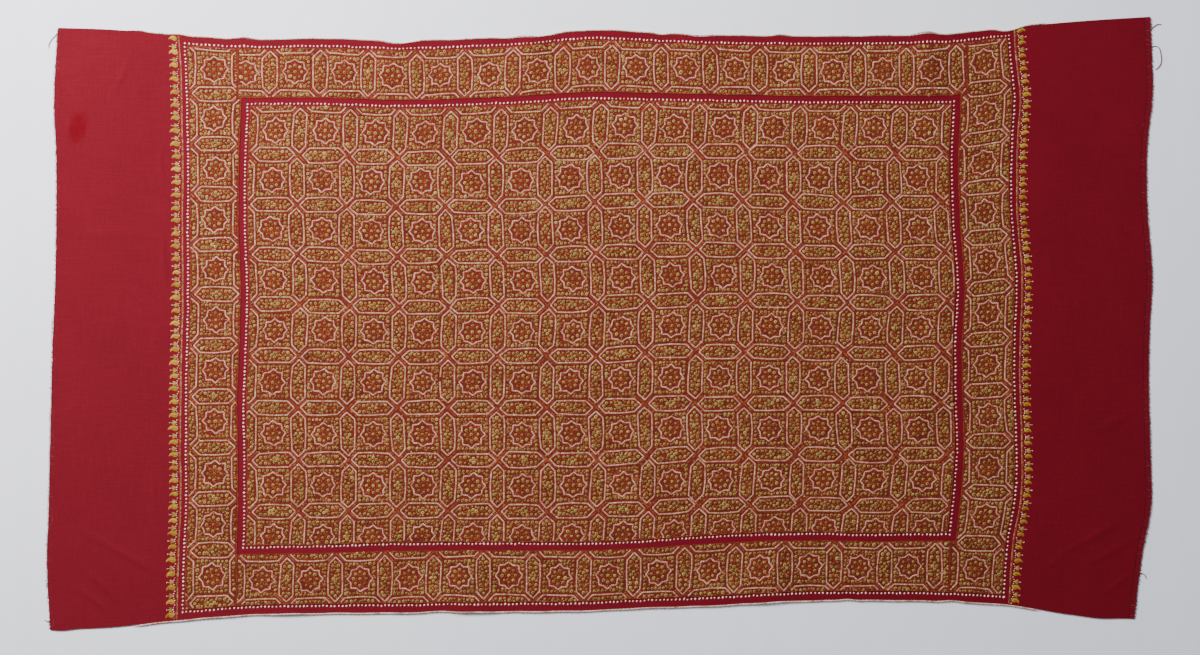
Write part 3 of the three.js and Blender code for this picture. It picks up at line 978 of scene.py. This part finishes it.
# between the knots lie small grains of the same gold, in uneven rows
def sowGrains(zone, centre, pitches):
    look = motif["grain"]
    counts = np.round(pitches / look["pitch"]).astype(int)
    lines = [(np.arange(n) + 0.5) / n * p - p / 2 for n, p in zip(counts, pitches)]
    spots = np.stack(list(crossed(*lines)), axis=1)
    spots += chance.normal(0, look["shake"], spots.shape)
    free = spareGround(zone, centre, pitches, spots + centre, look["clear"])
    free &= (np.hypot(*spots.T) > look["starClear"]) & (chance.uniform(0, 1, len(spots)) < look["share"])
    inHexagon = (np.abs(spots) / pitches).max(axis=1) > 0.5 - motif["hexWidth"] / 2
    for store, part in ((hexGolds, free & inHexagon), (golds, free & ~inHexagon)):
        fillStitches(store[zone["name"]], spots[part] + centre, chance.uniform(0, math.pi, part.sum()), look)


# what is left of the ground is darned with small stitches that run beside the nearest line
def darnGround(zone, centre, pitches):
    look = motif["fill"]
    spots = chance.uniform(-0.5, 0.5, (look["tries"], 2)) * pitches
    aside = np.abs(spots) / pitches
    leans = np.where(aside[:, 0] > aside[:, 1], math.pi / 2, 0) + chance.normal(0, look["lean"], len(spots))
    free = spareGround(zone, centre, pitches, spots + centre, look["clear"])
    fillStitches(rusts[zone["name"]], spots[free] + centre, leans[free], look)


# a place on the even lattice, moved to where it was worked
def wandered(zone, spot):
    if zone["name"] == "field":
        return spot + np.concatenate([strayBetween(lines, rows, "across", spot[1:], spot[:1])
                                      for lines, rows in ((driftLinesAlong, driftAlong),
                                                          (driftLinesAcross, driftAcross))])
    table = borderDrift[zone["drift"]]
    at = spot[0] if zone["rows"] == 1 else spot[1]
    return spot + np.array([np.interp(at, table["at"], table[way]) for way in ("along", "across")])


cords, golds, hexGolds, rusts = ({"field": newThreads(), "borders": newThreads()} for _ in range(4))

for zone in zones:
    taken.clear()
    centres = []
    pitches = np.array([zone["pitchAlong"], zone["pitchAcross"]])
    size = pitches.mean()
    for row in range(-1, zone["rows"] + 2):
        for col in range(-1, zone["columns"] + 2):
            centre = np.array([zone["firstAlong"], zone["firstAcross"]]) + np.array([col, -row]) * pitches
            if not (zone["left"] - pitches[0] < centre[0] < zone["right"] + pitches[0]
                    and zone["low"] - pitches[1] < centre[1] < zone["high"] + pitches[1]):
                continue
            heart, beside, above, corner = (wandered(zone, centre + np.array(spot) * pitches)
                                            for spot in ((0, 0), (-0.5, 0), (0, 0.5), (-0.5, 0.5)))
            centres.append(heart)
            workStar(zone, heart, size)
            workCell(zone, heart, pitches, size)
            workHexagon(zone, beside, math.pi / 2, size)
            workHexagon(zone, above, 0, size)
            workStraps(zone, corner, size)
    covers = np.concatenate(taken)
    for centre in centres:
        sowGrains(zone, centre, pitches)
        darnGround(zone, centre, pitches)

# one line of rust stitches closes each edge that meets a guard line
for name, along, across, way in (("field", fieldAlong, fieldAcross, -1),
                                 ("borders", outerAlong, outerAcross, -1),
                                 ("borders", innerAlong, innerAcross, 1)):
    inset = way * motif["outlineInset"]
    stitchRow(rusts[name], rectangle(along + inset, across + inset), True, motif["outline"])

# and a row of the same stitches is worked over each join of two borders
for corner, along in joins.items():
    way = 1 if corner.startswith("top") else -1
    join = np.array([(along, way * innerAcross), (along, way * outerAcross)])
    stitchRow(rusts["borders"], join, False, motif["join"])

for zoneName, word in (("field", "Field"), ("borders", "Border")):
    for work, store, thread in (("creamOutlines", cords, "creamThread"),
                                ("goldKnots", golds, "goldOliveThread"),
                                ("goldFlowers", hexGolds, "goldOliveThread"),
                                ("rustStitches", rusts, "rustThread")):
        layThreads(work + word, store[zoneName], threads[thread])
print("needlework stitched")


# the white dots along the guard lines
guardLook = {
    # a dot's rim tone is painted shade at its foot, and its shoulder is painted lighter, a painted highlight
    "dot": dict(radius=1.85, height=0.9, sides=7, spread=0.2, wobble=0.2, uneven=0.06, stretch=1.15, dark=0.0,
                dimple=1.15, rim=-0.3, shoulder=0.62, ragged=0.07),
    "steps": (7.1, 7.7, 7.1, 6.65), "lines": ((647.2, 405.8), (754.2, 514)), "shake": 0.35, "lean": 0.3,
}
dots = newThreads()
for a, c in guardLook["lines"]:
    corners = rectangle(a, c)
    for start, end, dotStep in zip(corners, np.roll(corners, -1, axis=0), guardLook["steps"]):
        count = round(np.hypot(*(end - start)) / dotStep)
        spots = start + (end - start) * np.arange(count)[:, None] / count
        lie = math.atan2(end[1] - start[1], end[0] - start[0]) + math.pi / 2
        spots += chance.normal(0, guardLook["shake"], spots.shape)
        knots(dots, spots, guardLook["dot"], base=layout["clothThickness"],
              turns=lie + chance.normal(0, guardLook["lean"], count))
layThreads("whiteGuardDots", dots, threads["whiteThread"])


# the paisley bands outside the end borders
trim = {
    "growLeft": 1, "growRight": 0.84, "pitch": 23.6, "firstPaisley": 6, "firstBead": 2, "lastBud": 3,
    "paisleyAt": 769.2, "veinAt": (2.2, 0.3), "budAt": 772.8, "tanAt": 764.0, "rustAt": 766.1,
    "beadAt": 767.9, "beadSwing": 1.85, "beadStep": 3.9, "beadGap": 3.4, "tipAt": (781.2, 783.4),
    "tipSizes": (0.55, 0.95), "hand": dict(paisley=0.4, grow=0.05, curl=0.25, bud=0.3),
    "paisley": dict(length=18.4, width=10.2, height=1.2, rise=0.45, curl=-1.5, points=12),
    "vein": dict(length=11.0, width=2.9, height=1.5, rise=0.4, curl=-1.1, points=6),
    "bud": dict(length=8.4, width=5.8, height=1.0, rise=0, curl=0, points=5),
    "leafUp": dict(length=7.6, width=4.4, height=0.9, rise=0.66, curl=0.33, points=5),
    "leafDown": dict(length=7.6, width=4.4, height=0.9, rise=-0.66, curl=-0.33, points=5),
    "tan": dict(stitch=3.0, width=3.0, height=0.7, wobble=0.4, tone=0.5, spread=0.26),
    "rust": dict(stitch=3.0, width=2.4, height=0.6, wobble=0.4, tone=0.5, spread=0.26),
    # a bead's rim tone is painted shade at its foot, and its shoulder is painted lighter, a painted highlight
    "bead": dict(radius=1.4, height=0.9, sides=6, spread=0.2, wobble=0.3, dark=0.0, dimple=1.15, rim=-0.3,
                 uneven=0.1, stretch=1, shoulder=0.62, ragged=0.07),
}
paisleyShape = ((0, 0.12, 0.32, 0.55, 0.8, 1), (0.42, 0.85, 1, 0.82, 0.46, 0.12))
leafShape = ((0, 0.3, 0.65, 1), (0.6, 1, 0.8, 0.15))


# one long stitch that swells and tapers, its line turning from its rise to its curl
def shapedStitch(store, start, look, profile, way, grow=1, curl=0):
    count = look["points"]
    share = np.linspace(0, 1, count)
    heading = look["rise"] + (look["curl"] + curl - look["rise"]) * share ** 2
    steps = np.stack([way * np.cos(heading), np.sin(heading)], axis=1) * (look["length"] * grow) / (count - 1)
    path = np.concatenate([[(0, 0)], np.cumsum(steps[:-1], axis=0)]) + start
    fullness = np.interp(share, *profile)
    widths, heights = way * (look["width"] * grow) * fullness, look["height"] * fullness ** 0.5
    tones = chance.normal(0.5, 0.12) + chance.normal(0, 0.1, count)
    strip(store, path, False, widths, heights, tones, layout["clothThickness"])


for word, way in (("Left", -1), ("Right", 1)):
    tanLine, rustLine, paisleys, veins, buds, pinks = (newThreads() for _ in range(6))
    base, hand = layout["clothThickness"], trim["hand"]
    edge = layout["edgeAcross"] - 1
    run = np.array([(0, -edge), (0, edge)])
    stitchRow(tanLine, run + (way * trim["tanAt"], 0), False, trim["tan"], base=base)
    stitchRow(rustLine, run + (way * trim["rustAt"], 0), False, trim["rust"], base=base)
    first = trim["firstPaisley"] - edge
    spots = np.arange(trim["firstBead"] - edge, edge, trim["beadStep"])
    fromPaisley = (spots - first + trim["pitch"] / 2) % trim["pitch"] - trim["pitch"] / 2
    spots = spots[np.abs(fromPaisley) > trim["beadGap"]]
    swing = trim["beadSwing"] * (1 - np.cos((spots - first) * 2 * math.pi / trim["pitch"]))
    knots(pinks, np.stack([way * (trim["beadAt"] + swing), spots], axis=1), trim["bead"], base=base)
    for spot in np.arange(first, edge, trim["pitch"]):
        at = np.array([way * trim["paisleyAt"], spot]) + chance.normal(0, hand["paisley"], 2)
        grow = chance.normal(trim["grow" + word], hand["grow"])
        shapedStitch(paisleys, at, trim["paisley"], paisleyShape, way, grow, chance.normal(0, hand["curl"]))
        at = at + (way * trim["veinAt"][0], trim["veinAt"][1])
        shapedStitch(veins, at, trim["vein"], leafShape, way, grow)
        at = np.array([way * trim["budAt"], spot + trim["pitch"] / 2]) + chance.normal(0, hand["bud"], 2)
        if at[1] > edge - trim["lastBud"]:
            continue
        for part in ("bud", "leafDown", "leafUp"):
            shapedStitch(buds, at, trim[part], leafShape, way)
        tips = np.array([(way * tip, at[1]) for tip in trim["tipAt"]])
        knots(pinks, tips, trim["bead"], base=base, sizes=trim["tipSizes"])
    for name, store, thread in (("tanLine", tanLine, "tanThread"), ("rustLine", rustLine, "rustThread"),
                                ("paisleys", paisleys, "yellowThread"),
                                ("paisleyVeins", veins, "orangeThread"),
                                ("buds", buds, "oliveThread"), ("pinkBeads", pinks, "pinkThread")):
        piece = layThreads(name + word, store, threads[thread])
        if name == "paisleys":
            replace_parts(piece, f"trim_{word.lower()}")
print("paisley bands worked")


# the cream edging cords, twisted, along the long edges
edging = {
    "radius": 1.25, "step": 2.4, "sides": 6, "twist": 1.1, "gap": 0.3, "swell": 0.2, "uneven": 0.05,
    "taperSteps": 6, "taperTo": 0.25, "sway": 0.35, "swayLength": 13,
    "tone": 0.5, "strandTone": 0.3, "toneSpread": 0.12, "toneDrift": 0.2, "driftWaves": (8, 14, 60),
}


def twistedCord(name, across, node):
    sides = edging["sides"]
    n = round((layout["edgingEndRight"] + layout["edgingEndLeft"]) / edging["step"])
    along = np.linspace(-layout["edgingEndLeft"], layout["edgingEndRight"], n)
    k = np.arange(sides) * 2 * math.pi / sides
    strands = np.cos(2 * (k[None] - np.arange(n)[:, None] * edging["twist"]))
    radius = edging["radius"] * (1 + edging["swell"] * strands) * chance.normal(1, edging["uneven"], (n, 1))
    fromEnd = np.minimum(np.arange(n), np.arange(n)[::-1])
    radius = radius * np.clip(fromEnd / edging["taperSteps"], edging["taperTo"], 1)[:, None]
    sway = np.sin(along / edging["swayLength"])[:, None] * edging["sway"]
    side = across + radius * np.cos(k)[None] + sway
    up = edging["radius"] + radius * np.sin(k)[None]
    points = np.stack([np.repeat(along, sides), side.ravel(), up.ravel()], axis=1)
    i, j = crossed(np.arange(n - 1), np.arange(sides))
    nxt = (j + 1) % sides
    quads = facesOf(i * sides + nxt, (i + 1) * sides + nxt, (i + 1) * sides + j, i * sides + j)
    tones = edging["tone"] + edging["strandTone"] * strands + chance.normal(0, edging["toneSpread"], (n, 1))
    tones = tones + edging["toneDrift"] * ripple(along, 0 * along, *edging["driftWaves"], chance)[:, None]
    store = newThreads()
    addThreads(store, points, tones.ravel(), quads=quads)
    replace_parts(layThreads(name, store, threads["edgingThread"]), node)


cordAcross = layout["edgeAcross"] + edging["gap"] + edging["radius"]
twistedCord("edgingTop", cordAcross, "edging_top")
twistedCord("edgingBottom", -cordAcross, "edging_bottom")


# the frayed ends: a loose strip, its last threads along and across, and a few long strays
fray = {
    "edge": 526, "step": 1.35, "tuck": 1.5, "inside": 1.8, "outside": 2.6, "swing": 0.16,
    "lines": 2, "lineFrom": 0.5, "lineShort": 1.0, "crossStep": 7.0, "thickness": 0.9, "overlap": 1.2,
    "tips": (-2.0, 0.6), "hairReach": (1.5, 3.6), "hairSwing": 0.9,
    "thread": dict(width=1.05, height=0.35, tone=0.36, spread=0.12, base=0.9),
    # the hairs' high tone paints them lighter and pinker than the cloth, a painted sheen on the fuzz that
    # lies over the cloth's shadow on the floor
    "hair": dict(width=0.9, height=0.3, tone=1.15, spread=0.1, base=0.5),
    "line": dict(width=0.9, height=0.45, tone=0.4, spread=0.1, base=1.0, shake=0.25),
    "stray": dict(width=1.3, height=0.7, tone=0.55, base=0.25),
    "Left": dict(cloth=-layout["clothEndLeft"], way=-1,
                 strays=[[(-999, 517), (-1004, 512), (-1010, 505), (-1014, 497), (-1013, 492)],
                         [(-996, -512), (-1003, -513), (-1009, -510)]]),
    "Right": dict(cloth=layout["clothEndRight"], way=1,
                  strays=[[(999, 503), (1004, 508), (1012, 513), (1019, 513)],
                          [(999, 473), (1007, 475), (1014, 471), (1017, 456), (1016, 446), (1011, 438),
                           (1005, 434)],
                          [(998, -452), (1004, -450), (1010, -453), (1013, -458)]]),
}


def smoothPath(points, count):
    rows = [dict(at=i, along=spot[0], across=spot[1]) for i, spot in enumerate(points)]
    at = np.linspace(0, len(points) - 1, count)
    return np.stack([curveThrough(rows, "at", name, at) for name in ("along", "across")], axis=1)


def looseThread(store, path, look, tones):
    widths, heights = (np.full(len(path), look[part]) for part in ("width", "height"))
    strip(store, path, False, widths, heights, tones, look["base"])


for word in ("Left", "Right"):
    part = fray[word]
    way, cloth = part["way"], part["cloth"]
    end = way * layout["end"]
    store = newThreads()
    edgeSpots = np.arange(2 - fray["edge"], fray["edge"] - 1, fray["step"])
    n = len(edgeSpots)
    starts = np.stack([np.full(n, cloth - way * fray["tuck"]), edgeSpots], axis=1)
    reach = np.abs(end - cloth) + fray["tuck"] + chance.uniform(-fray["inside"], fray["outside"], n)
    swing = chance.normal(0, fray["swing"], n)
    look = fray["thread"]
    strokes(store, starts, starts + np.stack([way * reach, reach * swing], axis=1), look, base=look["base"])
    look = fray["line"]
    for line in np.linspace(cloth + way * fray["lineFrom"], end - way * fray["lineShort"], fray["lines"]):
        spots = np.arange(-fray["edge"], fray["edge"] + 1, fray["crossStep"])
        path = np.stack([line + chance.normal(0, look["shake"], len(spots)), spots], axis=1)
        looseThread(store, path, look, chance.normal(look["tone"], look["spread"], len(path)))
    # the fringe hairs at the tips, painted lighter as a painted sheen
    tips = np.stack([np.full(n, end), edgeSpots], axis=1)[::2]
    tips[:, 0] += way * chance.uniform(*fray["tips"], len(tips))
    out = way * chance.uniform(*fray["hairReach"], len(tips))
    hairs = tips + np.stack([out, chance.normal(0, fray["hairSwing"], len(tips))], axis=1)
    strokes(store, tips, hairs, fray["hair"], base=fray["hair"]["base"])
    for stray in part["strays"]:
        path = smoothPath(stray, 4 * len(stray))
        looseThread(store, path, fray["stray"], np.full(len(path), fray["stray"]["tone"]))
    layThreads(f"frayed{word}Threads", store, threads["frayedRedThread"])
    stripAlong = np.array(sorted((end - way * fray["overlap"], cloth)))
    points, place, top, bottom, sides = wall(stripAlong, clothAcross, 0, fray["thickness"])
    loosened = meshPiece(f"frayed{word}End", points, [top, bottom, sides], [woolFront],
                         place=place)
    loosened.data.set_sharp_from_angle(angle=creaseAngle)
    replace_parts(loosened, f"fringe_{word.lower()}")
print("ends frayed")

for piece in allPieces:
    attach(piece, "root")


# the floor, the light and the camera
stageLook = {"floor": (0.91, 0.92, 1.0), "size": 9, "below": 0.0006, "grain": (30, 1.5, 1), "roughness": 0.6,
             "base": 0.96, "grainDepth": 0.08}
floorMesh = bpy.data.meshes.new("paleFloor")
s = stageLook["size"]
floorMesh.from_pydata([(-s, -s, 0), (s, -s, 0), (s, s, 0), (-s, s, 0)], [], [(0, 1, 2, 3)])
paleFloor = bpy.data.objects.new("paleFloor", floorMesh)
paleFloor.location.z = -stageLook["below"]
bpy.context.scene.collection.objects.link(paleFloor)
floorFinish = Finish("paleFloor")
boards = floorFinish.grain(floorFinish.where(), 0, stageLook["grain"], 2, 0.5)
floorColour = floorFinish.times(stageLook["floor"], stageLook["base"] + stageLook["grainDepth"] * boards)
floorFinish.set(**{"Base Color": floorColour, "Roughness": stageLook["roughness"]})
floorMesh.materials.append(floorFinish.material)

lights = rowsOf(
    "name at aim size energy colour",
    ("keyWindow", (-2.1, 2.1, 2.2), (-0.1, 0.6, 0), 1.8, 352, (1.0, 0.99, 1.0)),
    ("softFill", (1.6, -1.4, 3.4), (0.3, -0.1, 0), 3.0, 12, (0.92, 0.95, 1.0)))
for row in lights:
    data = bpy.data.lights.new(row["name"], "AREA")
    data.shape = "DISK"
    data.size = row["size"]
    data.energy = row["energy"]
    data.color = row["colour"]
    lamp = bpy.data.objects.new(row["name"], data)
    lamp.location = row["at"]
    direction = np.array(row["aim"]) - np.array(row["at"])
    lamp.rotation_euler = Vector(direction).to_track_quat("-Z", "Y").to_euler()
    bpy.context.scene.collection.objects.link(lamp)

room = {"colour": (0.86, 0.90, 1.0, 1), "strength": 0.2}
world = bpy.data.worlds.new("softRoom")
world.use_nodes = True
background = world.node_tree.nodes["Background"]
background.inputs["Color"].default_value = room["colour"]
background.inputs["Strength"].default_value = room["strength"]
bpy.context.scene.world = world

view = {"acrossPicture": 2.184, "height": 6.0, "centreX": 0.0004, "centreY": -0.0075, "sensor": 36}
cameraData = bpy.data.cameras.new("overheadCamera")
cameraData.sensor_width = view["sensor"]
cameraData.lens = view["sensor"] * view["height"] / view["acrossPicture"]
camera = bpy.data.objects.new("overheadCamera", cameraData)
camera.location = (view["centreX"], view["centreY"], view["height"])
bpy.context.scene.collection.objects.link(camera)
bpy.context.scene.camera = camera
print("stage lit")
